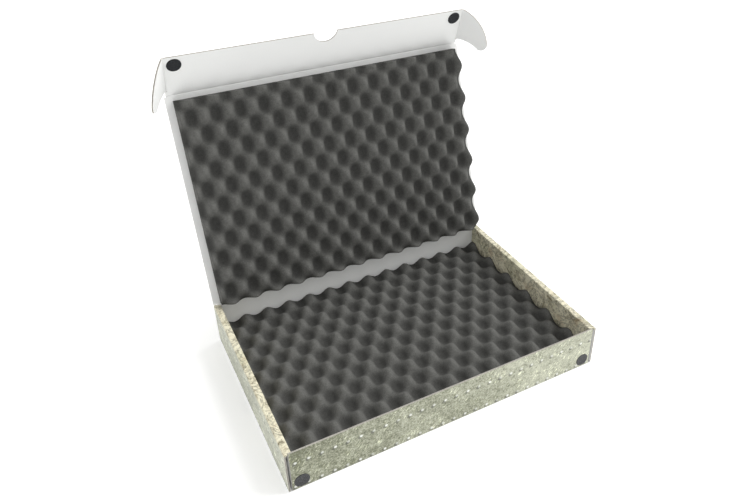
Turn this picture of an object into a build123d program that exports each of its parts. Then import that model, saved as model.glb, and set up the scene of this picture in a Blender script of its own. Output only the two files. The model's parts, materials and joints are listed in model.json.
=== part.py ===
"""A shallow archival mailing box, die-cut and folded from thin corrugated board.

Millimetres, +Z up, +X to the right and -Y to the front. The origin is the centre of the box's
underside. The lid is modelled standing open, with its front flap and the flap's two ears
part-folded. Every fold in the board is a body of its own, turning about the crease line.
"""

import os

from build123d import *

os.makedirs("parts", exist_ok=True)

# ---- Driving dimensions: the tray ----
box_width = 350.0  # outside, left to right
box_depth = 234.0  # outside, front to back
box_height = 50.0  # outside, underside to the top of the walls
board = 1.5  # thickness of the fine-flute corrugated board
bend_radius = 1.2  # outer radius where the board is rolled over
panel_gap = 0.3  # between panels that lie side by side in a folded wall
ear_slot = 2.5  # slit at the front corners that takes the ears
corner_flap_length = 92.0  # corner flaps tucked inside the side walls
corner_flap_taper = 6.0  # how far the flaps' free ends narrow, top and bottom
tab_length = 30.0  # locking tabs of the inner walls
tab_spacing = 116.0  # from tab to tab, along the depth
tab_recess = 0.2  # the tabs stop this far above the underside
tab_fit = 0.1  # clearance of a tab in its slot, each way

# ---- Driving dimensions: the lid, its flap and ears ----
lid_open_angle = 105.5  # from shut to the pose that is modelled
flap_fold_angle = 36.5  # from flat in the lid's plane to the pose that is modelled
ear_fold_angle = 60.0  # from flat in the flap's plane to the pose that is modelled
crease_gap = 0.2  # between a folding panel's rounded root and the panel it hangs on
flap_depth = 48.0  # fold line to free edge
ear_root = 6.6  # the ears start this far from the flap's fold line
ear_reach = 41.0  # how far the ears stand out from their own fold line
notch_radius = 13.5  # half-round thumb notch in the flap's free edge
notch_depth = 12.5
root_edge_gap = 0.15  # between an ear's rounded root and the flap's cut end

# ---- Driving dimensions: fasteners and foam ----
coin_radius = 7.5  # round hook-and-loop coins
coin_thickness = 1.0
coin_gap = 0.2  # between hooks and loops with the box shut
coin_inset = 13.5  # coin centres, in from the box's ends
loop_coin_height = 10.5  # centres of the coins on the front wall, above the underside
hook_coin_reach = 38.2  # centres of the coins on the flap, from its fold line
film = 0.2  # double-sided adhesive film under each foam pad
film_margin = 8.0  # the films stop this far inside the foam's edges
foam_gap = 0.3  # all round each pad
tray_foam_height = 27.3  # base of the pad to its peaks
lid_foam_height = 20.7
lid_foam_front_gap = 1.45  # extra room for the pad's far edge as the lid swings down

# ---- Places that follow from them ----
half_width = box_width / 2
half_depth = box_depth / 2
outer_wall_inside = half_width - board
front_half = outer_wall_inside - ear_slot  # half length of the front and back walls
inner_wall_outside = front_half - board - panel_gap
inner_wall_inside = inner_wall_outside - board
wall_inside_y = half_depth - board
rim_underside = box_height - board
hinge_y = half_depth - board / 2
hinge_z = box_height + crease_gap + board / 2
ear_axis_x = outer_wall_inside - ear_slot / 2
flap_half = ear_axis_x + board / 2
lid_length = half_depth + 2 * coin_thickness + coin_gap + board / 2 + hinge_y
lid_face = board / 2  # the lid's inner face, from its mid-plane
foam_half = inner_wall_inside - foam_gap
sides = (("left", -1), ("right", 1))
ends = (("front", -1), ("back", 1))

# ---- Folding planes: X along the crease, Y away from it, Z out of the inner face ----
lid_inward = Vector(0, 0, -1).rotate(Axis.X, -lid_open_angle)
lid_plane = Plane((0, hinge_y, hinge_z), x_dir=(1, 0, 0), z_dir=lid_inward)
flap_inward = lid_inward.rotate(Axis.X, flap_fold_angle)
flap_origin = lid_plane.from_local_coords((0, lid_length, 0))
flap_plane = Plane(flap_origin, x_dir=(1, 0, 0), z_dir=flap_inward)


def side_view(panel, start):
    """The plane across a folding panel's crease, start mm along it: X away from the crease."""
    origin = panel.from_local_coords((start, 0, 0))
    return Plane(origin, x_dir=panel.y_dir, z_dir=panel.x_dir)


def ear_plane(side):
    """The folded ear's mid-plane: X away from the ear's crease, Y along it to the free edge."""
    origin = flap_plane.from_local_coords((side * ear_axis_x, 0, 0))
    along = flap_plane.y_dir
    outward = (flap_plane.x_dir * side).rotate(Axis((0, 0, 0), along), -side * ear_fold_angle)
    return Plane(origin, x_dir=outward, z_dir=outward.cross(along))


def save(piece, name):
    piece.part.label = name
    export_step(piece.part, f"parts/{name}.step")


# ---- Tray: base, walls and what locks them ----
with BuildPart() as base_panel:
    with BuildSketch():
        Rectangle(box_width, box_depth)
    extrude(amount=board)
    fillet(base_panel.edges().group_by(Axis.Z)[0], bend_radius)
    slot_x = (inner_wall_outside + inner_wall_inside) / 2
    with BuildSketch():
        with GridLocations(2 * slot_x, tab_spacing, 2, 2):
            Rectangle(board + 2 * tab_fit, tab_length + 2 * tab_fit)
    extrude(amount=board, mode=Mode.SUBTRACT)
save(base_panel, "base_panel")

for end_name, end in ends:
    with BuildPart() as end_wall:
        with BuildSketch(Plane.XY.offset(board)):
            with Locations((0, end * (half_depth - board / 2))):
                Rectangle(2 * front_half, board)
        extrude(amount=box_height - board)
    save(end_wall, f"{end_name}_wall")

for side_name, side in sides:
    with BuildPart() as outer_wall:
        with BuildSketch(Plane.XY.offset(board)):
            with Locations((side * (half_width - board / 2), 0)):
                Rectangle(board, box_depth)
        extrude(amount=rim_underside - board)
    save(outer_wall, f"{side_name}_outer_wall")

    with BuildPart() as wall_rim:
        rim_end = wall_inside_y - crease_gap
        with BuildSketch(Plane.XY.offset(rim_underside)):
            with BuildLine():
                rim_half = Polyline(
                    (side * inner_wall_inside, 0),
                    (side * inner_wall_inside, rim_end),
                    (side * front_half, rim_end),
                    (side * (front_half + board), half_depth),
                    (side * half_width, half_depth),
                    (side * half_width, 0),
                )
                mirror(rim_half, about=Plane.XZ)
            make_face()
        extrude(amount=board)
        rolled = wall_rim.edges().filter_by(Axis.Y).group_by(Axis.Z)[-1]
        fillet(rolled, bend_radius)
    save(wall_rim, f"{side_name}_wall_rim")

    with BuildPart() as inner_wall:
        wall_x = side * (inner_wall_outside + inner_wall_inside) / 2
        with BuildSketch(Plane.XY.offset(board)):
            with Locations((wall_x, 0)):
                Rectangle(board, 2 * (wall_inside_y - panel_gap))
        extrude(amount=rim_underside - board)
        with BuildSketch(Plane.XY.offset(board)):
            with Locations((wall_x, 0)):
                with GridLocations(0, tab_spacing, 1, 2):
                    Rectangle(board, tab_length)
        extrude(amount=tab_recess - board)
    save(inner_wall, f"{side_name}_inner_wall")

    for end_name, end in ends:
        with BuildPart() as corner_flap:
            flap_x = side * (front_half - board)
            low = board + panel_gap
            high = rim_underside - panel_gap
            root_y = end * wall_inside_y
            free_y = end * (wall_inside_y - corner_flap_length)
            with BuildSketch(Plane.YZ.offset(flap_x)):
                with BuildLine():
                    Polyline(
                        (root_y, low),
                        (root_y, high),
                        (free_y, high - corner_flap_taper),
                        (free_y, low + corner_flap_taper),
                        close=True,
                    )
                make_face()
            extrude(amount=side * board)
        save(corner_flap, f"{end_name}_{side_name}_corner_flap")

# ---- Lid: one panel, rounded at the crease it turns on ----
with BuildPart() as lid_panel:
    with BuildSketch(side_view(lid_plane, -half_width)):
        panel_end = lid_length - board / 2 - crease_gap
        Rectangle(panel_end, board, align=(Align.MIN, Align.CENTER))
        Circle(board / 2)
    extrude(amount=box_width)
save(lid_panel, "lid_panel")

# ---- Front flap: narrower where the ears fold, with a thumb notch in its free edge ----
with BuildPart() as lid_front_flap:
    ear_seat = ear_axis_x - board / 2 - root_edge_gap
    with BuildSketch(flap_plane):
        with Locations((0, (ear_root - root_edge_gap) / 2)):
            Rectangle(2 * flap_half, ear_root - root_edge_gap)
        with Locations((0, flap_depth / 2)):
            Rectangle(2 * ear_seat, flap_depth)
        with Locations((0, flap_depth + notch_radius - notch_depth)):
            Circle(notch_radius, mode=Mode.SUBTRACT)
    extrude(amount=board / 2, both=True)
    with BuildSketch(side_view(flap_plane, -flap_half)):
        Circle(board / 2)
    extrude(amount=2 * flap_half)
save(lid_front_flap, "lid_front_flap")

# ---- Ears: a bulging outer edge about the flap's corner, a blunt tip and a hollow inner edge ----
for side_name, side in sides:
    with BuildPart() as ear:
        plane = ear_plane(side)
        shoulder = (ear_reach, 0.41 * flap_depth)
        heel = (0.78 * ear_reach, 0.15 * flap_depth)
        with BuildSketch(plane):
            with BuildLine():
                ThreePointArc((0, flap_depth), (0.6 * ear_reach, 0.85 * flap_depth), shoulder)
                ThreePointArc(shoulder, (0.96 * ear_reach, 0.235 * flap_depth), heel)
                ThreePointArc(heel, (0.42 * ear_reach, 0.215 * flap_depth), (0, ear_root))
                Line((0, ear_root), (0, flap_depth))
            make_face()
        extrude(amount=board / 2, both=True)
        root_origin = plane.from_local_coords((0, ear_root, 0))
        with BuildSketch(Plane(root_origin, x_dir=plane.x_dir, z_dir=plane.y_dir)):
            Circle(board / 2)
        extrude(amount=flap_depth - ear_root)
    save(ear, f"{side_name}_ear")

# ---- Hook-and-loop coins: loops on the front wall's outer face, hooks inside the flap ----
for side_name, side in sides:
    coin_x = side * (half_width - coin_inset)
    with BuildPart() as loop_coin:
        with BuildSketch(Plane.XZ.offset(half_depth)):
            with Locations((coin_x, loop_coin_height)):
                Circle(coin_radius)
        extrude(amount=coin_thickness)
    save(loop_coin, f"{side_name}_loop_coin")

    with BuildPart() as hook_coin:
        with BuildSketch(flap_plane.offset(lid_face)):
            with Locations((coin_x, hook_coin_reach)):
                Circle(coin_radius)
        extrude(amount=coin_thickness)
    save(hook_coin, f"{side_name}_hook_coin")

# ---- Foam pads, each on its adhesive film ----
tray_pad_half = wall_inside_y - foam_gap
with BuildPart() as tray_foam_film:
    with BuildSketch(Plane.XY.offset(board)):
        Rectangle(2 * (foam_half - film_margin), 2 * (tray_pad_half - film_margin))
    extrude(amount=film)
save(tray_foam_film, "tray_foam_film")

with BuildPart() as tray_foam:
    with BuildSketch(Plane.XY.offset(board + film)):
        Rectangle(2 * foam_half, 2 * tray_pad_half)
    extrude(amount=tray_foam_height)
save(tray_foam, "tray_foam")

lid_pad_near = board / 2 + 2 * foam_gap
lid_pad_far = hinge_y + wall_inside_y - foam_gap - lid_foam_front_gap
lid_pad_middle = (lid_pad_near + lid_pad_far) / 2
lid_pad_length = lid_pad_far - lid_pad_near
with BuildPart() as lid_foam_film:
    with BuildSketch(lid_plane.offset(lid_face)):
        with Locations((0, lid_pad_middle)):
            Rectangle(2 * (foam_half - film_margin), lid_pad_length - 2 * film_margin)
    extrude(amount=film)
save(lid_foam_film, "lid_foam_film")

with BuildPart() as lid_foam:
    with BuildSketch(lid_plane.offset(lid_face + film)):
        with Locations((0, lid_pad_middle)):
            Rectangle(2 * foam_half, lid_pad_length)
    extrude(amount=lid_foam_height)
save(lid_foam, "lid_foam")
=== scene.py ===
"""The looks of a foam-lined archival box, folded from thin corrugated board.

Every size is in metres and every piece stands in the frame's own axes: +Z up, -Y to the front.
Board panels are two liners with a fluted sheet between them, creases bend between the panels
that they join, and the foam pads are cut to an egg-crate surface.
"""

import json
import math

import bmesh
import bpy
from bpy.props import FloatProperty, FloatVectorProperty, IntProperty, PointerProperty
from bpy.types import Operator, Panel, PropertyGroup
from mathutils import Matrix, Vector


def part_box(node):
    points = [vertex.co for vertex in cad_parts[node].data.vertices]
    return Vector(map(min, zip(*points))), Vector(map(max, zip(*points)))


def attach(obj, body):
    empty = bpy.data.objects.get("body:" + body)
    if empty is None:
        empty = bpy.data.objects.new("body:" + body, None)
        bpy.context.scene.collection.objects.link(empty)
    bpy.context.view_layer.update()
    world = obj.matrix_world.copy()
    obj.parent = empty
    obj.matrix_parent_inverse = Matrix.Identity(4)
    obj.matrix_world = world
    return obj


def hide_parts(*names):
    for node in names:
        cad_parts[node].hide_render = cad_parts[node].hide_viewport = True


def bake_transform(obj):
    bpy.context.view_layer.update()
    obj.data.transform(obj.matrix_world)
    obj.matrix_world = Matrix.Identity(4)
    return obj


bl_info = {
    "name": "Archival Box",
    "version": (1, 0, 0),
    "blender": (4, 5, 0),
    "location": "3D View > Sidebar > Archival Box",
    "description": "Builds a folded, foam-lined archival box around its frame",
    "category": "Object",
}

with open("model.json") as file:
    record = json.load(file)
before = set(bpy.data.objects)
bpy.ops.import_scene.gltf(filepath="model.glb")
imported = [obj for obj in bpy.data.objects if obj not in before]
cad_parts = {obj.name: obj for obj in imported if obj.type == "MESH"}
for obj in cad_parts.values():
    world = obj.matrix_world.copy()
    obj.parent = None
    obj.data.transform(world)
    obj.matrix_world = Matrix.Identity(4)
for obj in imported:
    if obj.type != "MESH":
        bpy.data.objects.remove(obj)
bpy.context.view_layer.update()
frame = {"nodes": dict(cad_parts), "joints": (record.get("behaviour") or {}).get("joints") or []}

MM = 0.001
SIDES = (("left", -1), ("right", 1))
FLUTE_PITCH = 3.3 * MM
BLANK_UV = "Blank"
# Name of the pads' peak share, which the foam's finish uses for painted shade in the hollows.
RELIEF_NAME = "relief"

# ---- Places read from the frame ----
joints = {joint["name"]: joint for joint in frame["joints"]}


def joint_place(name):
    """Where a joint's axis passes."""
    return Vector(joints[name]["pos_m"])


RIGHT = Vector((1, 0, 0))
UP = Vector((0, 0, 1))
hinge_place = joint_place("lid_hinge")
fold_place = joint_place("flap_fold")
lid_along = (fold_place - hinge_place).normalized()
lid_length = (fold_place - hinge_place).length
flap_along = Vector(joints["left_ear_fold"]["axis"]).normalized()
flap_inward = RIGHT.cross(flap_along)
ear_fold = math.radians(-joints["left_ear_fold"]["range_deg"][0])
flap_fold = math.radians(-joints["flap_fold"]["range_deg"][0])
lid_bend = math.radians(joints["lid_hinge"]["range_deg"][1] - 90)

front_low, front_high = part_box("front_wall")
_, outer_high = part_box("right_outer_wall")
tray_pad_low, tray_pad_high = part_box("tray_foam")
coin_low, coin_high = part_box("right_loop_coin")
board = front_high.y - front_low.y
half_width = outer_high.x
half_depth = outer_high.y
front_half = front_high.x
wall_top = front_high.z
ear_axis_x = joint_place("right_ear_fold").x
flap_half = ear_axis_x + board / 2
coin_radius = (coin_high.x - coin_low.x) / 2
coin_thickness = coin_high.y - coin_low.y
foam_half = tray_pad_high.x

# The flap and its ears are cut to the same outline as the frame's.
FLAP_DEPTH = 48.0 * MM
EAR_ROOT = 6.6 * MM
EAR_REACH = 41.0 * MM
SHOULDER_GAP = 0.15 * MM
NOTCH_RADIUS = 13.5 * MM
NOTCH_DEPTH = 12.5 * MM
COIN_INSET = 13.5 * MM
HOOK_COIN_REACH = 38.2 * MM


def panel_frame(origin, across, along):
    """A panel's own axes at its mid-plane: X across, Y along, Z out of one face."""
    out = across.cross(along)
    turn = Matrix((across, along, out)).transposed().to_4x4()
    return Matrix.Translation(origin) @ turn


lid_frame = panel_frame(hinge_place, RIGHT, lid_along)
flap_frame = panel_frame(fold_place, RIGHT, flap_along)


def ear_frame(side):
    """The folded ear's axes: X away from its crease, Y along it to the flap's free edge."""
    origin = fold_place + RIGHT * side * ear_axis_x
    outward = RIGHT * side * math.cos(ear_fold) + flap_inward * math.sin(ear_fold)
    return panel_frame(origin, outward, flap_along)


# ---- Settings that a user would change ----
def length(name, description, default):
    """A setting in metres."""
    unit = {"precision": 5, "unit": "LENGTH"}
    return FloatProperty(name=name, description=description, default=default, **unit)


def angle(name, description, degrees):
    """An angle's setting; its default is given in degrees."""
    default = math.radians(degrees)
    return FloatProperty(name=name, description=description, default=default, subtype="ANGLE")


def colour(name, description, default):
    """A colour's setting."""
    limits = {"min": 0.0, "max": 1.0}
    return FloatVectorProperty(
        name=name, description=description, default=default, subtype="COLOR", size=3, **limits
    )


class ArchivalBoxBoardSettings(PropertyGroup):
    """Make-up of the corrugated board."""

    liner: length("Liner", "Thickness of each facing sheet", 0.26 * MM)
    medium: length("Fluted Sheet", "Thickness of the wavy sheet between the liners", 0.2 * MM)
    flute_pitch: length("Flute Pitch", "From one flute's crest to the next", FLUTE_PITCH)
    flute_recess: length("Flute Recess", "From a cut edge back to the fluted sheet", 0.35 * MM)
    crease_half: length(
        "Crease Reach",
        "How far a crease's bend reaches each side of the line it turns on",
        1.6 * MM,
    )


class ArchivalBoxFoamSettings(PropertyGroup):
    """Shape of the egg-crate foam."""

    pitch_across: length("Pitch Across", "From peak to peak along a row, left to right", 25.9 * MM)
    pitch_along: length("Pitch Along", "From peak to peak along a row, front to back", 39.0 * MM)
    lid_depth: length("Lid Pad Relief", "From peaks to hollows of the lid's pad", 12.5 * MM)
    tray_depth: length("Tray Pad Relief", "From peaks to hollows of the tray's pad", 9.8 * MM)
    sharpness: FloatProperty(
        name="Peak Sharpness",
        description="Above 1 the hollows are wider than the peaks",
        default=1.3,
    )
    cell: length("Mesh Cell", "Spacing of the pads' mesh", 1.75 * MM)
    unevenness: length("Unevenness", "Size of the random rise and fall of the surface", 0.45 * MM)
    seed: IntProperty(name="Seed", description="Choice of the foam's unevenness", default=7)


class ArchivalBoxCoinSettings(PropertyGroup):
    """Pile of the hook-and-loop coins."""

    backing: length("Backing", "Thickness of the woven backing under the pile", 0.5 * MM)
    spacing: length("Pile Spacing", "Least distance between two hooks or loops", 0.75 * MM)
    seed: IntProperty(name="Seed", description="Choice of the hooks' and loops' places", default=3)


class ArchivalBoxPrintSettings(PropertyGroup):
    """Colours of the board, print and foam."""

    metal_dark: colour("Metal Dark", "Darker tone of the printed metal", (0.115, 0.124, 0.066))
    metal_light: colour("Metal Light", "Lighter tone of the printed metal", (0.56, 0.57, 0.45))
    stone_light: colour("Stone Light", "Lighter tone of the printed stone", (0.76, 0.72, 0.55))
    stone_dark: colour("Stone Dark", "Darker tone of the printed stone", (0.22, 0.185, 0.10))
    liner_white: colour("Liner White", "The board's uncoated white liner", (0.83, 0.835, 0.82))
    foam_grey: colour("Foam Grey", "The charcoal foam", (0.098, 0.098, 0.092))


class ArchivalBoxStageSettings(PropertyGroup):
    """Camera and studio light."""

    camera_place: FloatVectorProperty(
        name="Camera Place",
        description="Where the camera stands",
        default=(-0.2673, -0.5286, 0.5479),
        subtype="TRANSLATION",
        size=3,
    )
    camera_turn: angle("Camera Turn", "Direction that the camera looks, from +Y towards +X", 27.48)
    camera_tilt: angle("Camera Tilt", "How far the camera looks down", 31.09)
    camera_roll: angle("Camera Roll", "Turn of the camera about its own line of sight", -0.786)
    camera_shift: FloatVectorProperty(
        name="Camera Shift",
        description="How far the view is moved across and up, as a share of its width",
        default=(-0.0394, -0.0583),
        size=2,
    )
    lens: FloatProperty(
        name="Lens",
        description="Focal length in millimetres on a 36 mm wide sensor",
        default=33.5,
        subtype="DISTANCE_CAMERA",
    )
    key_power: FloatProperty(name="Key Light", description="Strength of the soft light", default=2.3)
    key_softness: angle("Key Softness", "How wide the soft light looks from the box", 45)
    key_side: FloatVectorProperty(
        name="Key Side",
        description="Direction that the soft light comes from",
        default=(0.70, -0.06, 0.70),
        subtype="DIRECTION",
        size=3,
    )
    sky: FloatProperty(name="Surround", description="Brightness of the surround", default=0.82)


# ---- Node trees, written as expressions ----
class Field:
    """A socket that takes part in plain arithmetic: each operation adds a Math node."""

    def __init__(self, tree, socket):
        self.tree = tree
        self.socket = socket

    def maths(self, operation, *values):
        node = self.tree.node("ShaderNodeMath", {"operation": operation}, values)
        return Field(self.tree, node.outputs[0])

    def __add__(self, other):
        return self.maths("ADD", self, other)

    __radd__ = __add__

    def __sub__(self, other):
        return self.maths("SUBTRACT", self, other)

    def __rsub__(self, other):
        return self.maths("SUBTRACT", other, self)

    def __mul__(self, other):
        return self.maths("MULTIPLY", self, other)

    __rmul__ = __mul__

    def __truediv__(self, other):
        return self.maths("DIVIDE", self, other)

    def __rtruediv__(self, other):
        return self.maths("DIVIDE", other, self)

    def __pow__(self, other):
        return self.maths("POWER", self, other)

    def sine(self):
        return self.maths("SINE", self)

    def cosine(self):
        return self.maths("COSINE", self)

    def root(self):
        return self.maths("SQRT", self)

    def most(self, other):
        return self.maths("MAXIMUM", self, other)

    def whole(self):
        return self.maths("FLOOR", self)

    def above(self, level):
        return self.maths("GREATER_THAN", self, level)

    def rise(self, start, end):
        """0 before start and 1 after end, smooth between them; end may be the smaller."""
        settings = {"interpolation_type": "SMOOTHSTEP", "clamp": True}
        low, high = min(start, end), max(start, end)
        values = {"Value": self, "From Min": low, "From Max": high}
        up = Field(self.tree, self.tree.node("ShaderNodeMapRange", settings, values).outputs[0])
        return up if start < end else 1 - up


class NodeTree:
    """A node tree with one method that adds any node."""

    def __init__(self, tree):
        self.tree = tree

    def node(self, kind, settings=None, inputs=()):
        """Adds a node: its settings first, then the values or links of its sockets."""
        made = self.tree.nodes.new(kind)
        for name, value in (settings or {}).items():
            setattr(made, name, value)
        pairs = inputs.items() if isinstance(inputs, dict) else enumerate(inputs)
        for key, value in pairs:
            value = value.socket if isinstance(value, Field) else value
            if isinstance(value, bpy.types.NodeSocket):
                self.tree.links.new(value, made.inputs[key])
            else:
                made.inputs[key].default_value = value
        return made

    def value(self, kind, settings=None, inputs=(), output=0):
        """Adds a node and gives one of its outputs as a Field."""
        return Field(self, self.node(kind, settings, inputs).outputs[output])

    def parts(self, vector):
        """A vector's three numbers as Fields."""
        node = self.node("ShaderNodeSeparateXYZ", None, [vector])
        return [Field(self, node.outputs[i]) for i in range(3)]

    def vector(self, x=0.0, y=0.0, z=0.0):
        return self.node("ShaderNodeCombineXYZ", None, [x, y, z]).outputs[0]

    def joined(self, *pieces):
        """Several pieces of geometry as one."""
        node = self.node("GeometryNodeJoinGeometry")
        for piece in pieces:
            self.tree.links.new(piece, node.inputs[0])
        return node.outputs[0]

    def thickened(self, flat, thickness, weld):
        """A closed slab from a flat mesh: raised by the thickness, then welded to its underside."""
        inputs = {
            "Mesh": flat,
            "Offset": self.vector(0.0, 0.0, thickness),
            "Offset Scale": 1.0,
            "Individual": False,
        }
        raised = self.node("GeometryNodeExtrudeMesh", {"mode": "FACES"}, inputs)
        under = self.node("GeometryNodeFlipFaces", None, [flat])
        slab = self.joined(raised.outputs["Mesh"], under.outputs[0])
        inputs = {"Geometry": slab, "Distance": weld}
        return self.node("GeometryNodeMergeByDistance", None, inputs).outputs[0]

    def finish(self, geometry, material):
        """Ends the tree in one plain mesh with its material, and gives the group."""
        whole = self.node("GeometryNodeRealizeInstances", None, [geometry])
        inputs = {"Geometry": whole.outputs[0], "Material": material}
        painted = self.node("GeometryNodeSetMaterial", None, inputs)
        self.node("NodeGroupOutput", None, [painted.outputs[0]])
        return self.tree


def growth_group(name, inputs):
    """A new Geometry Nodes group, as its tree and its inputs.

    inputs holds, in order, each kind of socket and the names of the sockets of that kind.
    """
    group = bpy.data.node_groups.new(name, "GeometryNodeTree")
    group.interface.new_socket("Geometry", in_out="OUTPUT", socket_type="NodeSocketGeometry")
    for kind, names in inputs:
        for socket in names:
            group.interface.new_socket(socket, in_out="INPUT", socket_type=f"NodeSocket{kind}")
    tree = NodeTree(group)
    return tree, tree.node("NodeGroupInput").outputs


class Finish(NodeTree):
    """A material whose colour, roughness and relief come from its own nodes."""

    def __init__(self, name, roughness=0.6, specular=0.5, sheen=0.0):
        self.material = bpy.data.materials.new(name)
        self.material.use_nodes = True
        super().__init__(self.material.node_tree)
        self.shader = self.tree.nodes["Principled BSDF"]
        self.shader.inputs["Roughness"].default_value = roughness
        self.shader.inputs["Specular IOR Level"].default_value = specular
        self.shader.inputs["Sheen Weight"].default_value = sheen

    def object_place(self):
        return self.node("ShaderNodeTexCoord").outputs["Object"]

    def blank_place(self):
        """Place on the flat blank, in metres, from the piece's own UV map."""
        return self.node("ShaderNodeUVMap", {"uv_map": BLANK_UV}).outputs[0]

    def noise(self, place, scale, detail=2.0, roughness=0.5, distortion=0.0):
        inputs = {
            "Vector": place,
            "Scale": scale,
            "Detail": detail,
            "Roughness": roughness,
            "Distortion": distortion,
        }
        return self.value("ShaderNodeTexNoise", None, inputs)

    def stretched(self, place, turn, scale):
        """The place in axes turned about Z, each drawn out by its scale."""
        settings = {"vector_type": "TEXTURE"}
        inputs = {"Vector": place, "Rotation": (0.0, 0.0, turn), "Scale": scale}
        return self.node("ShaderNodeMapping", settings, inputs).outputs[0]

    def mix(self, share, first, second):
        """first where share is 0 and second where it is 1, as a colour."""
        settings = {"data_type": "RGBA", "clamp_factor": True}
        node = self.node("ShaderNodeMix", settings, {0: share})
        for index, colour in ((6, first), (7, second)):
            if isinstance(colour, bpy.types.NodeSocket):
                self.tree.links.new(colour, node.inputs[index])
            else:
                node.inputs[index].default_value = (*colour, 1.0)
        return node.outputs[2]

    def shade(self, colour, factor):
        """A colour made lighter or darker by a factor that varies."""
        settings = {"operation": "SCALE"}
        return self.node("ShaderNodeVectorMath", settings, {0: colour, 3: factor}).outputs[0]

    def surface(self, colour, roughness=None, relief=None, height=0.0, strength=1.0):
        """Gives the shader what varies: colour, roughness and relief up to a height."""
        self.tree.links.new(colour, self.shader.inputs["Base Color"])
        if roughness:
            self.tree.links.new(roughness.socket, self.shader.inputs["Roughness"])
        if relief:
            inputs = {"Height": relief, "Distance": height, "Strength": strength}
            bump = self.node("ShaderNodeBump", None, inputs)
            self.tree.links.new(bump.outputs[0], self.shader.inputs["Normal"])
        return self.material


# ---- Finishes ----
FIBRE_SCALE = 1400.0
FLEECE_SCALE = 260.0
WEAVE_SCALE = 9000.0
RIVET_PITCH = 12.9 * MM
RIVET_EDGE = (1.9 * MM, 1.1 * MM)
RIVET_JITTER = 0.35 * MM
SHADOW_EDGE = (2.6 * MM, 1.2 * MM)
SHADOW_SHIFT = (1.5 * MM, 1.3 * MM)
SCRATCH_ANGLE = math.radians(-38)
FLOOR_GLOW = 0.22

# Each rivet's number times one of these gives a sine that doesn't repeat along the row.
JITTER_STEP = 12.9898
STRENGTH_STEP = 78.233


def white_liner(settings):
    """Uncoated white paper with fine fibres, and the flutes just showing through."""
    finish = Finish("White Liner", roughness=0.62, specular=0.35)
    place = finish.blank_place()
    cloud = finish.noise(place, 28.0, detail=4.0, roughness=0.6)
    fibre = finish.noise(finish.stretched(place, 0.3, (1.0, 2.9, 1.0)), FIBRE_SCALE, detail=3.0)
    tone = 0.955 + 0.05 * cloud + 0.04 * fibre
    across = finish.parts(place)[0]
    flutes = (across * (2 * math.pi / FLUTE_PITCH)).sine()
    colour = finish.shade((*settings.liner_white,), tone)
    return finish.surface(
        colour, 0.56 + 0.14 * fibre, flutes * 0.35 + fibre * 0.5 + cloud * 1.5, 0.02 * MM
    )


def plain_board(settings):
    """White board seen on its own, patterned in the frame's axes."""
    finish = Finish("Plain White Board", roughness=0.64, specular=0.3)
    place = finish.object_place()
    cloud = finish.noise(place, 30.0, detail=4.0, roughness=0.6)
    fibre = finish.noise(place, FIBRE_SCALE, detail=3.0)
    tone = 0.94 + 0.06 * cloud + 0.05 * fibre
    colour = finish.shade((*settings.liner_white,), tone)
    return finish.surface(colour, 0.58 + 0.14 * fibre, fibre + cloud, 0.03 * MM)


def cut_board():
    """Raw paper at the cut edges and in the flutes."""
    finish = Finish("Cut Board", roughness=0.85, specular=0.2)
    place = finish.object_place()
    fibre = finish.noise(place, 2600.0, detail=4.0, roughness=0.7)
    cloud = finish.noise(place, 160.0, detail=2.0)
    colour = finish.mix(fibre.rise(0.3, 0.7), (0.50, 0.47, 0.41), (0.78, 0.76, 0.71))
    colour = finish.shade(colour, 0.8 + 0.3 * cloud)
    return finish.surface(colour, 0.78 + 0.15 * fibre, fibre, 0.06 * MM)


def weathering(finish, place, dark, light, balance):
    """Mottled metal with diagonal scratches: its colour and how worn it is."""
    cloud = finish.noise(place, 16.0, detail=5.0, roughness=0.62, distortion=0.4)
    blotch = finish.noise(place, 150.0, detail=5.0, roughness=0.7)
    grit = finish.noise(place, 520.0, detail=4.0, roughness=0.75)
    turned = finish.stretched(place, SCRATCH_ANGLE, (1.0, 8.0, 1.0))
    scratch = finish.noise(turned, 950.0, detail=3.0, roughness=0.6)
    scratch_field = finish.noise(place, 42.0, detail=2.0).rise(0.42, 0.62)
    worn = balance + (cloud - 0.5) * 1.1 + (blotch - 0.5) * 1.5 + (grit - 0.5) * 2.6
    colour = finish.mix(worn, dark, light)
    pitted = blotch.rise(0.42, 0.28) * 0.30 + grit.rise(0.40, 0.25) * 0.28
    scratched = scratch.rise(0.54, 0.64) * scratch_field * 1.3
    return finish.shade(colour, 1.0 - pitted + scratched), worn


def rivet_row(across, along, level, start):
    """Signed places from the nearest rivet of a row, and the row's own number for it."""
    steps = (across - start) / RIVET_PITCH
    number = (steps + 0.5).whole()
    return (steps - number) * RIVET_PITCH, along - level, number


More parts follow.
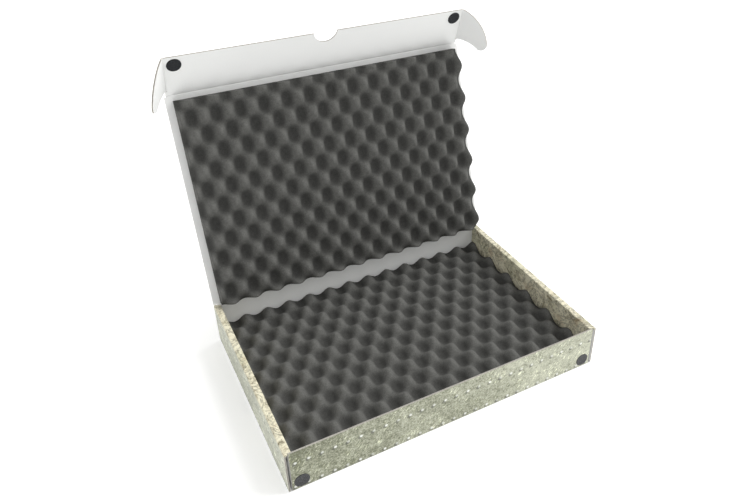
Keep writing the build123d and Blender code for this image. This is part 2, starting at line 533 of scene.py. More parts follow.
def metal_print(name, settings, levels, sheen_tint=(1.0, 1.0, 1.0), slope=0.0, balance=0.5):
    """Weathered metal with rows of rivets, printed on the outer liner and varnished.

    levels holds each row's height on the panel and where its rivets start across it;
    slope lightens the print across the panel, per metre; sheen_tint scales both metal tones, as a
    painted sheen.
    """
    finish = Finish(name, roughness=0.42, specular=0.45)
    place = finish.blank_place()
    across, along, _ = finish.parts(place)
    dark = tuple(c * t for c, t in zip(settings.metal_dark, sheen_tint))
    light = tuple(c * t for c, t in zip(settings.metal_light, sheen_tint))
    drift = balance + across * slope
    colour, worn = weathering(finish, place, dark, light, drift)
    head, shadow = None, None
    for level, start in levels:
        x, y, number = rivet_row(across, along, level, start)
        jitter = (number * JITTER_STEP).sine() * RIVET_JITTER
        distance = (x * x + (y + jitter) * (y + jitter)).root()
        lower_x, lower_y = x + SHADOW_SHIFT[0], y + jitter + SHADOW_SHIFT[1]
        lower = (lower_x * lower_x + lower_y * lower_y).root()
        strength = 0.75 + 0.25 * (number * STRENGTH_STEP).sine()
        dot = distance.rise(*RIVET_EDGE) * strength
        dark_dot = lower.rise(*SHADOW_EDGE) * (1.2 - 0.4 * strength)
        head = dot if head is None else head.most(dot)
        shadow = dark_dot if shadow is None else shadow.most(dark_dot)
    if head is not None:
        colour = finish.mix(shadow * 0.7, colour, (0.055, 0.058, 0.045))
        colour = finish.mix(head * 0.95, colour, (0.80, 0.81, 0.76))
    relief = finish.noise(place, 500.0, detail=2.0)
    return finish.surface(colour, 0.36 + 0.18 * worn, relief, 0.02 * MM)


def stone_print(settings):
    """Lichened stone, printed on the board that lines the side walls."""
    finish = Finish("Stone Print", roughness=0.5, specular=0.4)
    place = finish.object_place()
    patch = finish.noise(place, 55.0, detail=7.0, roughness=0.72, distortion=1.6)
    vein = finish.noise(place, 26.0, detail=6.0, roughness=0.7, distortion=2.2)
    grain = finish.noise(place, 420.0, detail=4.0, roughness=0.7)
    worn = (patch - 0.5) * 4.2 + (grain - 0.5) * 1.8 + 0.86
    colour = finish.mix(worn, settings.stone_dark, settings.stone_light)
    lichen = finish.noise(place, 22.0, detail=4.0).rise(0.50, 0.66)
    colour = finish.mix(lichen * 0.30, colour, (0.42, 0.44, 0.28))
    rust = finish.noise(place, 48.0, detail=3.0).rise(0.56, 0.70)
    colour = finish.mix(rust * 0.35, colour, (0.42, 0.28, 0.14))
    tone = 1.0 - vein.rise(0.53, 0.50) * vein.rise(0.46, 0.49) * 0.5 - grain.rise(0.40, 0.26) * 0.4
    colour = finish.shade(colour, tone)
    return finish.surface(colour, 0.42 + 0.2 * grain, grain, 0.02 * MM)


def open_cell_foam(settings):
    """Charcoal polyurethane foam: tiny open cells that catch the light, and painted shade that
    darkens the hollows.
    """
    finish = Finish("Charcoal Foam", roughness=0.95, specular=0.12)
    place = finish.object_place()
    inputs = {"Vector": place, "Scale": 1250.0}
    cell = finish.value("ShaderNodeTexVoronoi", {"feature": "F1"}, inputs)
    grain = finish.noise(place, 700.0, detail=4.0, roughness=0.75)
    fleece = finish.noise(place, FLEECE_SCALE, detail=3.0, roughness=0.6)
    cloud = finish.noise(place, 14.0, detail=2.0)
    height = finish.value("ShaderNodeAttribute", {"attribute_name": RELIEF_NAME}, output=2)
    tone = 0.22 + 0.80 * grain + 0.44 * fleece + 0.16 * cloud + 0.40 * (cell - 0.4)
    # Painted shade: the colour darkens from the peaks down into the hollows, where shade falls.
    tone = tone * (0.60 + 0.64 * height.rise(0.22, 0.78))
    colour = finish.shade((*settings.foam_grey,), tone)
    relief = grain + 0.8 * cell + 0.6 * fleece
    return finish.surface(colour, 0.9 + 0.1 * grain, relief, 0.35 * MM, 0.7)


def woven_tape(name, sheen):
    """Black nylon with a fine warp and weft."""
    finish = Finish(name, roughness=0.7, specular=0.35, sheen=sheen)
    place = finish.object_place()
    x, y, z = finish.parts(place)
    weave = (x * WEAVE_SCALE).sine() * ((y + z) * WEAVE_SCALE).sine()
    lint = finish.noise(place, 900.0, detail=3.0)
    colour = finish.mix(lint.rise(0.45, 0.75), (0.008, 0.009, 0.011), (0.026, 0.028, 0.032))
    return finish.surface(colour, 0.6 + 0.3 * lint, weave + lint, 0.05 * MM)


def adhesive_film():
    """Thin double-sided adhesive, creamy and a little glossy."""
    finish = Finish("Adhesive Film", roughness=0.3, specular=0.5)
    place = finish.object_place()
    bubble = finish.noise(place, 220.0, detail=3.0)
    colour = finish.mix(bubble.rise(0.35, 0.65), (0.62, 0.58, 0.46), (0.72, 0.69, 0.58))
    return finish.surface(colour, 0.24 + 0.2 * bubble, bubble, 0.02 * MM)


def floor_finish():
    """A plain pale studio floor."""
    finish = Finish("Studio Floor", roughness=0.9, specular=0.1)
    place = finish.object_place()
    haze = finish.noise(place, 3.0, detail=2.0)
    finish.shader.inputs["Emission Color"].default_value = (1.0, 1.0, 1.0, 1.0)
    finish.shader.inputs["Emission Strength"].default_value = FLOOR_GLOW
    return finish.surface(finish.shade((0.93, 0.93, 0.93), 0.985 + 0.03 * haze))


FRONT_RIVETS = ((35.3 * MM, -165.8 * MM), (4.9 * MM, -142.3 * MM))
SIDE_RIVETS = ((35.3 * MM, -108 * MM), (4.9 * MM, -108 * MM))
LID_RIVETS = ((9.0 * MM, -167.7 * MM), (lid_length - 9.0 * MM, -167.7 * MM))


def make_finishes():
    """Every finish of the box, made once and kept by name."""
    settings = bpy.context.scene.archival_box_print
    if "White Liner" not in bpy.data.materials:
        white_liner(settings)
        plain_board(settings)
        cut_board()
        stone_print(settings)
        open_cell_foam(settings)
        woven_tape("Hook Tape", 0.1)
        woven_tape("Loop Tape", 0.5)
        adhesive_film()
        metal_print("Front Print", settings, FRONT_RIVETS, slope=2.1, balance=0.47)
        # Side walls: the print's tones are lifted and blued as a painted sheen, standing in for the
        # varnish's white reflection at a grazing view; the rivets and weathering are the real print.
        metal_print("Side Print", settings, SIDE_RIVETS, (1.1, 1.1, 1.15), balance=0.62)
        metal_print("Lid Print", settings, LID_RIVETS)
        metal_print("Ear Print", settings, ())
    return bpy.data.materials


# ---- Building meshes ----
def new_object(name, mesh):
    made = bpy.data.objects.new(name, mesh)
    bpy.context.scene.collection.objects.link(made)
    return made


def place_piece(name, mesh, body, node):
    """A finished piece: the body it rides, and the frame's solid that it stands for."""
    piece = new_object(name, mesh)
    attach(piece, body)
    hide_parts(node)
    return piece


def arc_points(start, via, end, steps):
    """Points along the arc through three points, from start to end."""
    (ax, ay), (bx, by), (cx, cy) = start, via, end
    d = 2 * (ax * (by - cy) + bx * (cy - ay) + cx * (ay - by))
    a2, b2, c2 = ax * ax + ay * ay, bx * bx + by * by, cx * cx + cy * cy
    ux = (a2 * (by - cy) + b2 * (cy - ay) + c2 * (ay - by)) / d
    uy = (a2 * (cx - bx) + b2 * (ax - cx) + c2 * (bx - ax)) / d
    radius = math.hypot(ax - ux, ay - uy)
    first = math.atan2(ay - uy, ax - ux)
    middle = (math.atan2(by - uy, bx - ux) - first) % (2 * math.pi)
    last = (math.atan2(cy - uy, cx - ux) - first) % (2 * math.pi)
    if middle > last:
        last -= 2 * math.pi
    angles = (first + last * i / steps for i in range(steps + 1))
    return [(ux + radius * math.cos(a), uy + radius * math.sin(a)) for a in angles]


def span_at(outline, column):
    """The lowest and highest place of the outline on one column across it."""
    crossings = []
    for (x0, y0), (x1, y1) in zip(outline, outline[1:] + outline[:1]):
        if min(x0, x1) <= column <= max(x0, x1) and x0 != x1:
            crossings.append(y0 + (y1 - y0) * (column - x0) / (x1 - x0))
    return (min(crossings), max(crossings)) if crossings else None


WAVE_STEPS = 8
WELD = 0.001 * MM


def flute_tree():
    """Turns a flat strip into the fluted sheet: it is given thickness, then waved."""
    if "Fluted Sheet" in bpy.data.node_groups:
        return bpy.data.node_groups["Fluted Sheet"]
    sockets = (
        ("Geometry", ("Geometry",)),
        ("Float", ("Flute Pitch", "Wave Height", "Thickness")),
        ("Material", ("Material",)),
    )
    tree, given = growth_group("Fluted Sheet", sockets)
    thickness = Field(tree, given["Thickness"])
    slab = tree.thickened(given["Geometry"], thickness, WELD)
    x, _, _ = tree.parts(tree.node("GeometryNodeInputPosition").outputs[0])
    phase = x / Field(tree, given["Flute Pitch"]) * (2 * math.pi)
    height = phase.sine() * Field(tree, given["Wave Height"]) - thickness * 0.5
    inputs = {"Geometry": slab, "Offset": tree.vector(0.0, 0.0, height)}
    waved = tree.node("GeometryNodeSetPosition", None, inputs)
    return tree.finish(waved.outputs[0], given["Material"])


def grown(name, mesh, tree, inputs, place=None):
    """The mesh that a Geometry Nodes tree makes from another, moved to its place."""
    base = new_object(f"{name}_base", mesh)
    modifier = base.modifiers.new("Growth", "NODES")
    modifier.node_group = tree
    for item in tree.interface.items_tree:
        if item.item_type == "SOCKET" and item.in_out == "INPUT" and item.name in inputs:
            modifier[item.identifier] = inputs[item.name]
    bpy.context.view_layer.update()
    graph = bpy.context.evaluated_depsgraph_get()
    mesh = bpy.data.meshes.new_from_object(base.evaluated_get(graph), depsgraph=graph)
    base.modifiers.clear()
    bpy.data.objects.remove(base)
    mesh.name = name
    if place is not None:
        mesh.transform(place)
    return mesh


def fluted_sheet(outline, along_waves, recess):
    """The wavy sheet inside a panel, cut to the outline and standing back from its edges."""
    settings = bpy.context.scene.archival_box_board
    step = settings.flute_pitch / WAVE_STEPS
    turned = outline if not along_waves else [(y, -x) for x, y in outline]
    low = min(x for x, _ in turned) + recess
    high = max(x for x, _ in turned) - recess
    count = max(2, round((high - low) / step))
    mesh = bpy.data.meshes.new("strip")
    work = bmesh.new()
    previous = None
    for i in range(count + 1):
        column = low + (high - low) * i / count
        span = span_at(turned, column)
        if span is None or span[1] - span[0] < 3 * recess:
            previous = None
            continue
        pair = [work.verts.new((column, y, 0.0)) for y in (span[0] + recess, span[1] - recess)]
        if previous:
            work.faces.new((previous[0], pair[0], pair[1], previous[1]))
        previous = pair
    work.to_mesh(mesh)
    work.free()
    inside = board / 2 - settings.liner
    inputs = {
        "Flute Pitch": settings.flute_pitch,
        "Wave Height": inside - settings.medium / 2,
        "Thickness": settings.medium,
        "Material": make_finishes()["Cut Board"],
    }
    turn = Matrix.Rotation(math.radians(90), 4, "Z") if along_waves else None
    return grown("fluted_sheet", mesh, flute_tree(), inputs, turn)


def add_slab(work, outline, bottom, top, finishes):
    """A closed flat sheet of paper; finishes are its underside's, rim's and top's numbers."""
    rings = [[work.verts.new((x, y, z)) for x, y in outline] for z in (bottom, top)]
    area = sum(x0 * y1 - x1 * y0 for (x0, y0), (x1, y1) in zip(outline, outline[1:] + outline[:1]))
    if area < 0:
        rings = [ring[::-1] for ring in rings]
    faces = [(rings[0][::-1], finishes[0]), (rings[1], finishes[2])]
    for i in range(len(outline)):
        j = (i + 1) % len(outline)
        faces.append(((rings[0][i], rings[0][j], rings[1][j], rings[1][i]), finishes[1]))
    for corners, finish in faces:
        work.faces.new(corners).material_index = finish


PRINT, WHITE, CUT = 0, 1, 2


def board_panel(name, outline, place, inner_side, body, node, slot, print_name, along_waves=False):
    """A corrugated panel: printed outer liner, fluted sheet and white inner liner."""
    settings = bpy.context.scene.archival_box_board
    finishes = make_finishes()
    half, liner = board / 2, settings.liner
    sheet = fluted_sheet(outline, along_waves, settings.flute_recess)
    work = bmesh.new()
    work.from_mesh(sheet)
    for face in work.faces:
        face.material_index = CUT
    upper = WHITE if inner_side > 0 else PRINT
    lower = PRINT if inner_side > 0 else WHITE
    add_slab(work, outline, -half, liner - half, (lower, CUT, CUT))
    add_slab(work, outline, half - liner, half, (CUT, CUT, upper))
    work.normal_update()
    bmesh.ops.triangulate(work, faces=[f for f in work.faces if len(f.verts) > 4])
    blank = work.loops.layers.uv.new(BLANK_UV)
    for face in work.faces:
        for loop in face.loops:
            loop[blank].uv = (loop.vert.co.x, loop.vert.co.y)
    work.transform(place)
    mesh = bpy.data.meshes.new(name)
    work.to_mesh(mesh)
    work.free()
    bpy.data.meshes.remove(sheet)
    for finish in (print_name, "White Liner", "Cut Board"):
        mesh.materials.append(finishes[finish])
    place_piece(name, mesh, body, node)


def rectangle(x0, x1, y0, y1):
    return [(x0, y0), (x1, y0), (x1, y1), (x0, y1)]


def flap_outline(crease):
    """The front flap: wide at its root, then narrower, with a half-round thumb notch."""
    seat = ear_axis_x - crease
    centre_y = FLAP_DEPTH + NOTCH_RADIUS - NOTCH_DEPTH
    reach = math.sqrt(NOTCH_RADIUS**2 - (FLAP_DEPTH - centre_y) ** 2)
    deepest = (0.0, FLAP_DEPTH - NOTCH_DEPTH)
    notch = arc_points((reach, FLAP_DEPTH), deepest, (-reach, FLAP_DEPTH), steps=28)
    shoulder = EAR_ROOT - SHOULDER_GAP
    left = [(-seat, FLAP_DEPTH), (-seat, shoulder), (-flap_half, shoulder), (-flap_half, crease)]
    right = [(flap_half, crease), (flap_half, shoulder), (seat, shoulder), (seat, FLAP_DEPTH)]
    return right + notch + left


def ear_outline(crease):
    """An ear from just beyond its crease: bulging edge, blunt tip and hollow inner edge."""
    shoulder = (EAR_REACH, 0.41 * FLAP_DEPTH)
    heel = (0.78 * EAR_REACH, 0.15 * FLAP_DEPTH)
    top = arc_points((0.0, FLAP_DEPTH), (0.6 * EAR_REACH, 0.85 * FLAP_DEPTH), shoulder, steps=26)
    tip = arc_points(shoulder, (0.96 * EAR_REACH, 0.235 * FLAP_DEPTH), heel, steps=10)
    hollow = arc_points(heel, (0.42 * EAR_REACH, 0.215 * FLAP_DEPTH), (0.0, EAR_ROOT), steps=18)
    whole = top + tip[1:] + hollow[1:]
    beyond = [point for point in whole if point[0] > crease]
    low, high = span_at(whole, crease)
    return [(crease, high)] + beyond + [(crease, low)]


class ARCHIVALBOX_OT_board_panels(Operator):
    """Makes the walls, lid, front flap and ears as corrugated board"""

    bl_idname = "archival_box.board_panels"
    bl_label = "Board Panels"

    def execute(self, context):
        crease = context.scene.archival_box_board.crease_half
        wall_low = front_low.z
        inset = half_depth - board / 2
        front = panel_frame(Vector((0, -inset, 0)), RIGHT, UP)
        back = panel_frame(Vector((0, inset, 0)), RIGHT, UP)
        outline = rectangle(-front_half, front_half, wall_low, wall_top)
        finish = ("printed_board", "Front Print")
        board_panel("front_wall_board", outline, front, -1, "tray", "front_wall", *finish)
        outline = rectangle(-front_half, front_half, wall_low, hinge_place.z - crease)
        finish = ("plain_board", "Front Print")
        board_panel("back_wall_board", outline, back, 1, "tray", "back_wall", *finish)
        for name, side in SIDES:
            origin = Vector((side * (half_width - board / 2), 0, 0))
            place = panel_frame(origin, Vector((0, 1, 0)), UP)
            outline = rectangle(-half_depth, half_depth, wall_low, outer_high.z)
            node = f"{name}_outer_wall"
            finish = ("printed_board", "Side Print", True)
            board_panel(f"{node}_board", outline, place, -side, "tray", node, *finish)
        outline = rectangle(-half_width, half_width, crease, lid_length - crease)
        finish = ("plain_board", "Lid Print")
        board_panel("lid_board", outline, lid_frame, 1, "lid", "lid_panel", *finish)
        outline = flap_outline(crease)
        finish = ("plain_board", "Ear Print")
        board_panel(
            "front_flap_board", outline, flap_frame, 1, "front_flap", "lid_front_flap", *finish
        )
        outline = ear_outline(crease)
        for name, side in SIDES:
            node = f"{name}_ear"
            board_panel(f"{node}_board", outline, ear_frame(side), side, node, node, *finish)
        return {"FINISHED"}


# ---- Creases ----
CREASE_STEPS = 14
LENGTH_STEPS = 60
PINCH_REACH = 0.32
INNER_PINCH = 0.45
OUTER_PINCH = 0.08
EAR_CREASE_INSET = 0.05 * MM
WIDENING = 0.1


def crease_strip(name, place, bend, span, reach):
    """A creased strip of board, curved between two panels by a fixed bend.

    place has X along the crease's line, Y from the first panel to the second when flat,
    and Z out of the white face; span gives the strip's ends along X for a place across it.
    """
    finishes = make_finishes()
    half = board / 2
    work = bmesh.new()
    blank = work.loops.layers.uv.new(BLANK_UV)
    rings = []
    for i in range(CREASE_STEPS + 1):
        across = reach * (2 * i / CREASE_STEPS - 1)
        share = i / CREASE_STEPS
        turn = bend * share * share * (3 - 2 * share)
        pinch = math.exp(-((across / (PINCH_REACH * reach)) ** 2))
        inner = half * (1 - INNER_PINCH * pinch)
        outer = half * (1 - OUTER_PINCH * pinch)
        ring = []
        low, high = span(across)
        for height in (inner, -outer):
            y = across * math.cos(turn) - height * math.sin(turn)
            z = across * math.sin(turn) + height * math.cos(turn)
            row = [(low + (high - low) * k / LENGTH_STEPS, y, z) for k in range(LENGTH_STEPS + 1)]
            ring.append([(work.verts.new(point), across) for point in row])
        rings.append(ring)

    def face(corners, finish):
        made = work.faces.new([vertex for vertex, _ in corners])
        made.material_index = finish
        made.smooth = finish != CUT
        for loop, (vertex, across) in zip(made.loops, corners):
            loop[blank].uv = (vertex.co.x, across)

    for (inner_a, outer_a), (inner_b, outer_b) in zip(rings, rings[1:]):
        for k in range(LENGTH_STEPS):
            face((inner_a[k], inner_a[k + 1], inner_b[k + 1], inner_b[k]), WHITE)
            face((outer_a[k + 1], outer_a[k], outer_b[k], outer_b[k + 1]), PRINT)
        for k in (0, LENGTH_STEPS):
            face((inner_a[k], inner_b[k], outer_b[k], outer_a[k]), CUT)
    for inner, outer in (rings[0], rings[-1]):
        for k in range(LENGTH_STEPS):
            face((inner[k], inner[k + 1], outer[k + 1], outer[k]), CUT)
    bmesh.ops.recalc_face_normals(work, faces=work.faces)
    work.transform(place)
    mesh = bpy.data.meshes.new(name)
    work.to_mesh(mesh)
    work.free()
    for finish in ("Ear Print", "White Liner", "Cut Board"):
        mesh.materials.append(finishes[finish])
    strip = new_object(name, mesh)
    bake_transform(strip)


class ARCHIVALBOX_OT_creases(Operator):
    """Makes the creased strips that join the tray, lid, flap and ears"""

    bl_idname = "archival_box.creases"
    bl_label = "Creases"

    def execute(self, context):
        reach = context.scene.archival_box_board.crease_half

        def lid_span(across):
            """The lid is wider than the back wall, so the strip widens past its bend."""
            half = front_half if across < WIDENING * reach else half_width
            return -half, half

        def flap_span(_across):
            return -flap_half, flap_half

        wall_frame = panel_frame(hinge_place, RIGHT, UP)
        crease_strip("lid_crease", wall_frame, -lid_bend, lid_span, reach)
        fold_frame = panel_frame(fold_place, RIGHT, lid_along)
        crease_strip("flap_crease", fold_frame, flap_fold, flap_span, reach)
        for name, side in SIDES:
            origin = fold_place + RIGHT * side * ear_axis_x
            along = flap_along * -side
            place = panel_frame(origin, along, RIGHT * side)
            low, high = sorted((-side * EAR_ROOT, -side * FLAP_DEPTH))

            def ear_span(_across, low=low, high=high):
                return low + EAR_CREASE_INSET, high - EAR_CREASE_INSET

            crease_strip(f"{name}_ear_crease", place, ear_fold, ear_span, reach)
        return {"FINISHED"}


# ---- Foam pads ----
COARSE_SCALE = 55.0
FINE_SCALE = 420.0


def foam_tree():
    """A closed pad whose top is an egg-crate surface of peaks and hollows in turn."""
    if "Egg-Crate Foam" in bpy.data.node_groups:
        return bpy.data.node_groups["Egg-Crate Foam"]
    sizes = ("Width", "Length", "Height", "Relief", "Pitch Across", "Pitch Along")
    shape = ("Start Across", "Start Along", "Sharpness", "Unevenness", "Seed")
    sockets = (
        ("Float", sizes + shape),
        ("Int", ("Columns", "Rows")),
        ("Material", ("Material",)),
    )
    tree, given = growth_group("Egg-Crate Foam", sockets)
    number = {name: Field(tree, given[name]) for name in sizes + shape}
    inputs = [number["Width"], number["Length"], given["Columns"], given["Rows"]]
    grid = tree.node("GeometryNodeMeshGrid", None, inputs)
    slab = tree.thickened(grid.outputs["Mesh"], number["Height"], 0.01 * MM)
    place = tree.node("GeometryNodeInputPosition").outputs[0]
    x, y, z = tree.parts(place)
    across = ((x - number["Start Across"]) / number["Pitch Across"] * (2 * math.pi)).cosine()
    along = ((y - number["Start Along"]) / number["Pitch Along"] * (2 * math.pi)).cosine()
    peak = (across * along + 1.0) * 0.5
    shaped = peak ** number["Sharpness"]
    seeded = tree.vector(x, y, number["Seed"])
    inputs = {"Vector": seeded, "Scale": COARSE_SCALE, "Detail": 2.0}
    coarse = tree.value("ShaderNodeTexNoise", None, inputs)
    fine = tree.value("ShaderNodeTexNoise", None, {**inputs, "Scale": FINE_SCALE})
    uneven = (coarse * 1.4 + fine * 0.6 - 2.0) * number["Unevenness"]
    height = number["Height"] - number["Relief"] * (1.0 - shaped) + uneven
    # The peak share is kept on the pad so that the foam's finish can paint shade into the hollows.
    settings = {"data_type": "FLOAT", "domain": "POINT"}
    inputs = {"Geometry": slab, "Name": RELIEF_NAME, "Value": peak}
    marked = tree.node("GeometryNodeStoreNamedAttribute", settings, inputs)
    inputs = {
        "Geometry": marked.outputs[0],
        "Selection": z.above(WELD),
        "Position": tree.vector(x, y, height),
    }
    moved = tree.node("GeometryNodeSetPosition", None, inputs)
    facing = tree.parts(tree.node("GeometryNodeInputNormal").outputs[0])[2]
    inputs = {"Geometry": moved.outputs[0], "Shade Smooth": facing.above(0.1)}
    smooth = tree.node("GeometryNodeSetShadeSmooth", {"domain": "FACE"}, inputs)
    return tree.finish(smooth.outputs[0], given["Material"])


def foam_pad(name, place, size, relief, start, body, node):
    """One egg-crate pad; place has its base's centre and Z out of its peaks."""
    settings = bpy.context.scene.archival_box_foam
    inputs = {
        "Width": size[0],
        "Length": size[1],
        "Height": size[2],
        "Relief": relief,
        "Pitch Across": settings.pitch_across,
        "Pitch Along": settings.pitch_along,
        "Start Across": start[0],
        "Start Along": start[1],
        "Sharpness": settings.sharpness,
        "Unevenness": settings.unevenness,
        "Seed": float(settings.seed),
        "Columns": round(size[0] / settings.cell) + 1,
        "Rows": round(size[1] / settings.cell) + 1,
        "Material": make_finishes()["Charcoal Foam"],
    }
    mesh = grown(name, bpy.data.meshes.new("empty"), foam_tree(), inputs, place)
    pad = place_piece(name, mesh, body, node)


def lid_pad_span():
    """The lid pad's near and far edges from the hinge, its foot and its height."""
    to_panel = lid_frame.inverted()
    places = [to_panel @ vertex.co for vertex in frame["nodes"]["lid_foam"].data.vertices]
    along = [place.y for place in places]
    out = [place.z for place in places]
    return min(along), max(along), min(out), max(out)


LID_PEAK = (168.8 * MM, 210.8 * MM)
TRAY_PEAK = (-64.4 * MM, 109.0 * MM)


class ARCHIVALBOX_OT_foam_pads(Operator):
    """Makes the two egg-crate foam pads"""

    bl_idname = "archival_box.foam_pads"
    bl_label = "Foam Pads"

    def execute(self, context):
        settings = context.scene.archival_box_foam
        size = tray_pad_high - tray_pad_low
        centre = (tray_pad_high + tray_pad_low) / 2
        place = Matrix.Translation((centre.x, centre.y, tray_pad_low.z))
        start = (TRAY_PEAK[0] - centre.x, TRAY_PEAK[1] - centre.y)
        foam_pad("tray_foam_pad", place, size, settings.tray_depth, start, "tray", "tray_foam")
        near, far, foot, top = lid_pad_span()
        middle = (near + far) / 2
        place = lid_frame @ Matrix.Translation((0, middle, foot))
        start = (LID_PEAK[0], LID_PEAK[1] - middle)
        size = (2 * foam_half, far - near, top - foot)
        foam_pad("lid_foam_pad", place, size, settings.lid_depth, start, "lid", "lid_foam")
        return {"FINISHED"}


# ---- Hook-and-loop coins ----
PILE_DENSITY = 3.0e6
PILE_REACH = 0.94
ARC_POINTS = 7
THREAD_SIDES = 3


def pile_tree():
    """Covers the faces that look up with standing hooks or loops."""
    if "Tape Pile" in bpy.data.node_groups:
        return bpy.data.node_groups["Tape Pile"]
    sockets = (
        ("Geometry", ("Geometry",)),
        ("Float", ("Spacing", "Loop Radius", "Thread Radius", "Sweep", "Tilt")),
        ("Int", ("Seed",)),
        ("Material", ("Material",)),
    )
    tree, given = growth_group("Tape Pile", sockets)
    coin = given["Geometry"]
    x, y, _ = tree.parts(tree.node("GeometryNodeInputPosition").outputs[0])
    normal_z = tree.parts(tree.node("GeometryNodeInputNormal").outputs[0])[2]
    centre_share = (x * x + y * y).root() / coin_radius
    inputs = {
        "Mesh": coin,
        "Selection": normal_z.above(0.9),
        "Distance Min": given["Spacing"],
        "Density Max": PILE_DENSITY,
        "Seed": given["Seed"],
    }
    settings = {"distribute_method": "POISSON"}
    points = tree.node("GeometryNodeDistributePointsOnFaces", settings, inputs)
    inputs = {
        "Resolution": ARC_POINTS,
        "Radius": given["Loop Radius"],
        "Sweep Angle": given["Sweep"],
    }
    arc = tree.node("GeometryNodeCurveArc", {"mode": "RADIUS"}, inputs)
    inputs = {"Geometry": arc.outputs[0], "Rotation": (math.radians(90), 0.0, 0.0)}
    upright = tree.node("GeometryNodeTransform", None, inputs)
    inputs = {"Resolution": THREAD_SIDES, "Radius": given["Thread Radius"]}
    thread = tree.node("GeometryNodeCurvePrimitiveCircle", {"mode": "RADIUS"}, inputs)
    inputs = {"Curve": upright.outputs[0], "Profile Curve": thread.outputs[0], "Fill Caps": True}
    loop = tree.node("GeometryNodeCurveToMesh", None, inputs)
    tilt = Field(tree, given["Tilt"])
    inputs = {
        0: tree.vector(0.0 - tilt, 0.0 - tilt, 0.0),
        1: tree.vector(tilt, tilt, 2 * math.pi),
        "Seed": given["Seed"],
    }
    turn = tree.node("FunctionNodeRandomValue", {"data_type": "FLOAT_VECTOR"}, inputs)
    inputs = {
        "Points": points.outputs["Points"],
        "Instance": loop.outputs[0],
        "Rotation": turn.outputs[0],
    }
    pile = tree.node("GeometryNodeInstanceOnPoints", None, inputs)
    inputs = {"Geometry": pile.outputs[0], "Selection": centre_share.above(PILE_REACH)}
    inside = tree.node("GeometryNodeDeleteGeometry", {"domain": "INSTANCE"}, inputs)
    return tree.finish(tree.joined(coin, inside.outputs[0]), given["Material"])


RIM_ROUNDS = 4
COIN_SEGMENTS = 56
RIM_RADIUS = 0.16 * MM


def coin_mesh(thickness):
    """A round of tape backing with softly rounded rims, its underside at height 0."""
    flat_radius = coin_radius - RIM_RADIUS
    profile = [(0.0, 0.0), (flat_radius, 0.0)]
    for low, start in ((RIM_RADIUS, -90), (thickness - RIM_RADIUS, 0)):
        for i in range(RIM_ROUNDS + 1):
            angle = math.radians(start + 90 * i / RIM_ROUNDS)
            out = flat_radius + RIM_RADIUS * math.cos(angle)
            profile.append((out, low + RIM_RADIUS * math.sin(angle)))
    profile.append((0.0, thickness))
    work = bmesh.new()
    rings = []
    for radius, height in profile:
        if radius == 0.0:
            rings.append([work.verts.new((0.0, 0.0, height))])
            continue
        angles = (2 * math.pi * k / COIN_SEGMENTS for k in range(COIN_SEGMENTS))
        ring = [(radius * math.cos(a), radius * math.sin(a), height) for a in angles]
        rings.append([work.verts.new(point) for point in ring])
    for lower, upper in zip(rings, rings[1:]):
        for k in range(COIN_SEGMENTS):
            n = (k + 1) % COIN_SEGMENTS
            places = ((lower, k), (lower, n), (upper, n), (upper, k))
            corners = [ring[place % len(ring)] for ring, place in places]
            corners = [c for i, c in enumerate(corners) if c not in corners[:i]]
            if len(corners) > 2:
                work.faces.new(corners)
    bmesh.ops.remove_doubles(work, verts=work.verts, dist=WELD)
    bmesh.ops.recalc_face_normals(work, faces=work.faces)
    mesh = bpy.data.meshes.new("coin_backing")
    work.to_mesh(mesh)
    work.free()
    return mesh


def tape_coin(name, place, body, node, hooks):
    """A coin of hook tape or loop tape; place has its centre and Z out of its pile."""
    settings = bpy.context.scene.archival_box_coin
    material = "Hook Tape" if hooks else "Loop Tape"
    reach = coin_thickness - settings.backing
    inputs = {
        "Spacing": settings.spacing * (1.15 if hooks else 0.8),
        "Loop Radius": reach * (0.68 if hooks else 0.78),
        "Thread Radius": (0.075 if hooks else 0.045) * MM,
        "Sweep": math.radians(150 if hooks else 180),
        "Tilt": 0.12 if hooks else 0.5,
        "Seed": settings.seed,
        "Material": make_finishes()[material],
    }
    mesh = grown(name, coin_mesh(settings.backing), pile_tree(), inputs, place)
    place_piece(name, mesh, body, node)


class ARCHIVALBOX_OT_tape_coins(Operator):
    """Makes the four hook-and-loop coins"""

    bl_idname = "archival_box.tape_coins"
    bl_label = "Hook-and-Loop Coins"

    def execute(self, context):
        for name, side in SIDES:
            low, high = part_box(f"{name}_loop_coin")
            centre = (low + high) / 2
            centre.y = high.y
            place = panel_frame(centre, RIGHT, UP)
            tape_coin(f"{name}_loop_tape", place, "tray", f"{name}_loop_coin", False)
            centre = (side * (half_width - COIN_INSET), HOOK_COIN_REACH, board / 2)
            place = flap_frame @ Matrix.Translation(centre)
            tape_coin(f"{name}_hook_tape", place, "front_flap", f"{name}_hook_coin", True)
        return {"FINISHED"}


# ---- Finishes of the pieces that stay as the frame has them ----
class ARCHIVALBOX_OT_frame_finishes(Operator):
    """Gives the frame's own pieces their finishes"""

    bl_idname = "archival_box.frame_finishes"
    bl_label = "Frame Finishes"

    def execute(self, context):
        finishes = make_finishes()
        for name, node in frame["nodes"].items():
            if node.hide_render:
                continue
            if name.endswith("_film"):
                finish = "Adhesive Film"
            elif name.endswith(("_rim", "_inner_wall")):
                finish = "Stone Print"
            else:
                finish = "Plain White Board"
            for slot in node.material_slots:
                slot.material = finishes[finish]
        return {"FINISHED"}


# ---- Stage ----
FLOOR_REACH = 6.0
FLOOR_DROP = 0.3 * MM
SENSOR_WIDTH = 36.0


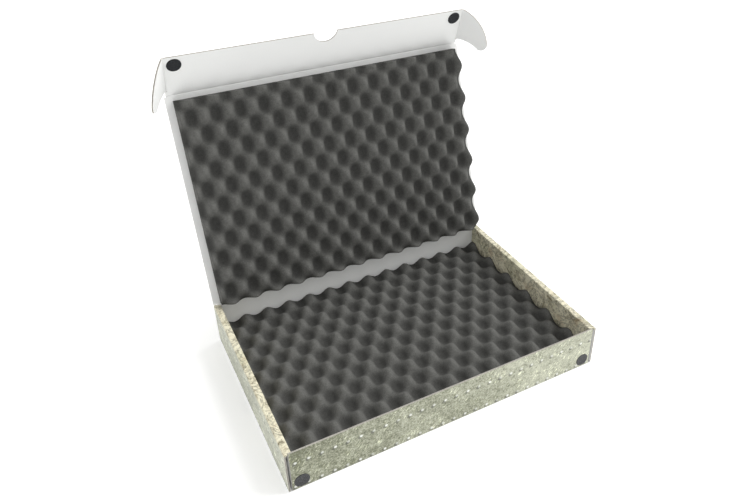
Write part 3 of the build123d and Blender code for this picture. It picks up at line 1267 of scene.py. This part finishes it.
class ARCHIVALBOX_OT_stage(Operator):
    """Makes the floor, the soft light and the camera"""

    bl_idname = "archival_box.stage"
    bl_label = "Stage"

    def execute(self, context):
        scene = context.scene
        settings = scene.archival_box_stage
        mesh = bpy.data.meshes.new("studio_floor")
        square = rectangle(-FLOOR_REACH, FLOOR_REACH, -FLOOR_REACH, FLOOR_REACH)
        corners = [(x, y, -FLOOR_DROP) for x, y in square]
        mesh.from_pydata(corners, [], [(0, 1, 2, 3)])
        mesh.materials.append(floor_finish())
        floor = new_object("studio_floor", mesh)
        world = bpy.data.worlds.new("Studio Surround")
        world.use_nodes = True
        background = world.node_tree.nodes["Background"]
        background.inputs["Color"].default_value = (1.0, 1.0, 1.0, 1.0)
        background.inputs["Strength"].default_value = settings.sky
        scene.world = world
        lamp = bpy.data.lights.new("window_light", "SUN")
        lamp.energy = settings.key_power
        lamp.angle = settings.key_softness
        window = new_object("window_light", lamp)
        window.rotation_euler = Vector(settings.key_side).to_track_quat("Z", "Y").to_euler()
        camera_data = bpy.data.cameras.new("camera")
        camera_data.sensor_width = SENSOR_WIDTH
        camera_data.lens = settings.lens
        camera_data.shift_x, camera_data.shift_y = settings.camera_shift
        camera = new_object("camera", camera_data)
        turn, tilt = settings.camera_turn, settings.camera_tilt
        level = math.cos(tilt)
        ahead = Vector((math.sin(turn) * level, math.cos(turn) * level, -math.sin(tilt)))
        aim = ahead.to_track_quat("-Z", "Y").to_matrix()
        roll = Matrix.Rotation(settings.camera_roll, 3, "Z")
        camera.matrix_world = Matrix.Translation(settings.camera_place) @ (aim @ roll).to_4x4()
        scene.camera = camera
        scene.view_settings.view_transform = "Standard"
        return {"FINISHED"}


# ---- Panel and registration ----
PIECES = (
    ARCHIVALBOX_OT_board_panels,
    ARCHIVALBOX_OT_creases,
    ARCHIVALBOX_OT_foam_pads,
    ARCHIVALBOX_OT_tape_coins,
    ARCHIVALBOX_OT_frame_finishes,
    ARCHIVALBOX_OT_stage,
)
SETTINGS = {
    "archival_box_board": ArchivalBoxBoardSettings,
    "archival_box_foam": ArchivalBoxFoamSettings,
    "archival_box_coin": ArchivalBoxCoinSettings,
    "archival_box_print": ArchivalBoxPrintSettings,
    "archival_box_stage": ArchivalBoxStageSettings,
}


class ARCHIVALBOX_PT_sidebar(Panel):
    """Lists the box's pieces and their settings"""

    bl_idname = "ARCHIVALBOX_PT_sidebar"
    bl_label = "Archival Box"
    bl_space_type = "VIEW_3D"
    bl_region_type = "UI"
    bl_category = "Archival Box"

    def draw(self, context):
        for piece in PIECES:
            self.layout.operator(piece.bl_idname)
        for name, group in SETTINGS.items():
            column = self.layout.column()
            for setting in group.__annotations__:
                column.prop(getattr(context.scene, name), setting)


def register():
    for group in SETTINGS.values():
        bpy.utils.register_class(group)
    for name, group in SETTINGS.items():
        setattr(bpy.types.Scene, name, PointerProperty(type=group))
    for item in (*PIECES, ARCHIVALBOX_PT_sidebar):
        bpy.utils.register_class(item)


def unregister():
    for item in (ARCHIVALBOX_PT_sidebar, *reversed(PIECES)):
        bpy.utils.unregister_class(item)
    for name, group in SETTINGS.items():
        delattr(bpy.types.Scene, name)
        bpy.utils.unregister_class(group)


def main():
    register()
    for piece in PIECES:
        module, call = piece.bl_idname.split(".")
        getattr(getattr(bpy.ops, module), call)()


if __name__ == "__main__":
    main()
